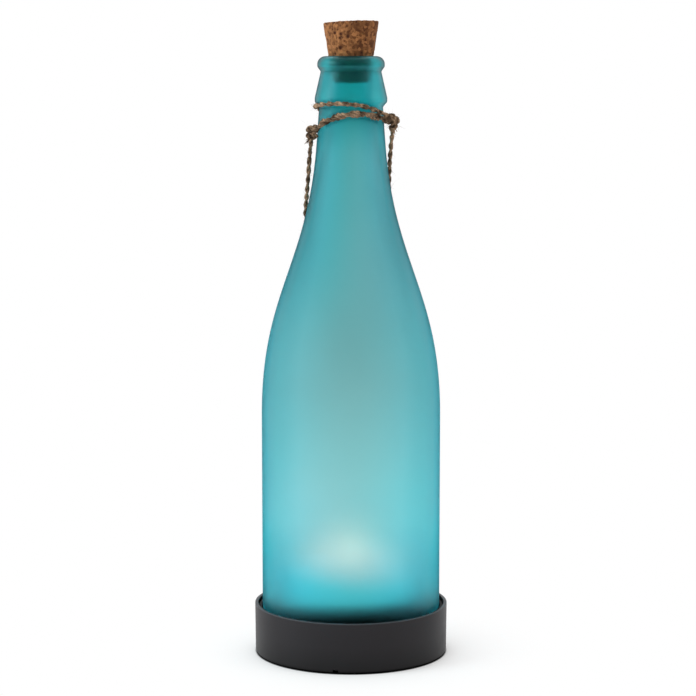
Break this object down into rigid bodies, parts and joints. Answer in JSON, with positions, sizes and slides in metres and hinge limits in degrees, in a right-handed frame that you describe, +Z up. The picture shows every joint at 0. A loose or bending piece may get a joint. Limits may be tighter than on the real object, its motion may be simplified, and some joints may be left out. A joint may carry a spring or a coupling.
{
  "type": "solar bottle lamp",
  "caption": "Frosted teal glass bottle with a tapered cork and a jute hanging loop, standing in a round plastic base that holds a solar-charged light and its switch.",
  "frame": {"origin": "on the floor, on the bottle's axis, under the middle of the base", "axes": "+Z up along the bottle's axis, front towards -Y, +X to the right seen from the front"},
  "size_m": [0.0868, 0.0868, 0.2823],
  "materials": {
    "teal_glass": "acid-frosted, translucent teal",
    "cork": "raw agglomerated cork with pores",
    "jute": "hairy two-ply jute twine",
    "charcoal_plastic": "fine satin texture",
    "black_rubber": "matt",
    "steel": "nickel plated",
    "foam_tape": "closed-cell foam",
    "solar_cell": "clear resin over dark blue cells",
    "white_plastic": "semi-gloss",
    "led_resin": "clear resin, lit",
    "lens_plastic": "clear, slightly hazy",
    "board_laminate": "green solder mask",
    "chip_resin": "moulded resin",
    "ferrite": "sintered",
    "battery_wrap": "plain shrink sleeve",
    "red_wire": "insulation",
    "black_wire": "insulation"
  },
  "bodies": {
    "base": {"base_cup": "charcoal_plastic", "bottom_cover": "charcoal_plastic", "cover_seal": "black_rubber", "foot_1": "black_rubber", "foot_2": "black_rubber", "foot_3": "black_rubber", "foot_4": "black_rubber", "cover_screw_1": "steel", "cover_screw_2": "steel", "cover_screw_3": "steel", "board_screw_1": "steel", "board_screw_2": "steel", "seat_ring": "black_rubber", "panel_pad": "foam_tape", "solar_panel": "solar_cell", "led_post": "white_plastic", "led": "led_resin", "led_lens": "lens_plastic", "circuit_board": "board_laminate", "controller_chip": "chip_resin", "inductor": "ferrite", "switch_housing": "steel", "battery": "battery_wrap", "positive_contact": "steel", "negative_contact": "steel", "battery_spring": "steel", "led_wire_positive": "red_wire", "panel_wire_positive": "red_wire", "battery_wire_positive": "red_wire", "led_wire_negative": "black_wire", "panel_wire_negative": "black_wire", "battery_wire_negative": "black_wire"},
    "bottle": {"bottle": "teal_glass", "neck_twine": "jute", "left_knot": "jute", "right_knot": "jute"},
    "cork": {"cork": "cork"},
    "hanger": {"hanger_twine": "jute"},
    "switch": {"switch_knob": "white_plastic"},
    "battery_door": {"battery_door": "charcoal_plastic", "door_screw": "steel"}
  },
  "joints": [
    {"name": "bottle_lift", "type": "slide", "parent": "base", "child": "bottle", "axis": [0, 0, 1], "range_m": [0, 0.06]},
    {"name": "cork_pull", "type": "slide", "parent": "bottle", "child": "cork", "axis": [0, 0, 1], "range_m": [0, 0.03]},
    {"name": "hanger_swing", "type": "hinge", "parent": "bottle", "child": "hanger", "pos_m": [-0.017, -0.0017, 0.2356], "axis": [1, 0, 0], "range_deg": [0, 150]},
    {"name": "switch_slide", "type": "slide", "parent": "base", "child": "switch", "axis": [1, 0, 0], "range_m": [0, 0.004]},
    {"name": "battery_door_swing", "type": "hinge", "parent": "base", "child": "battery_door", "pos_m": [-0.02785, -0.011, 0.0012], "axis": [0, 1, 0], "range_deg": [0, 80]}
  ]
}
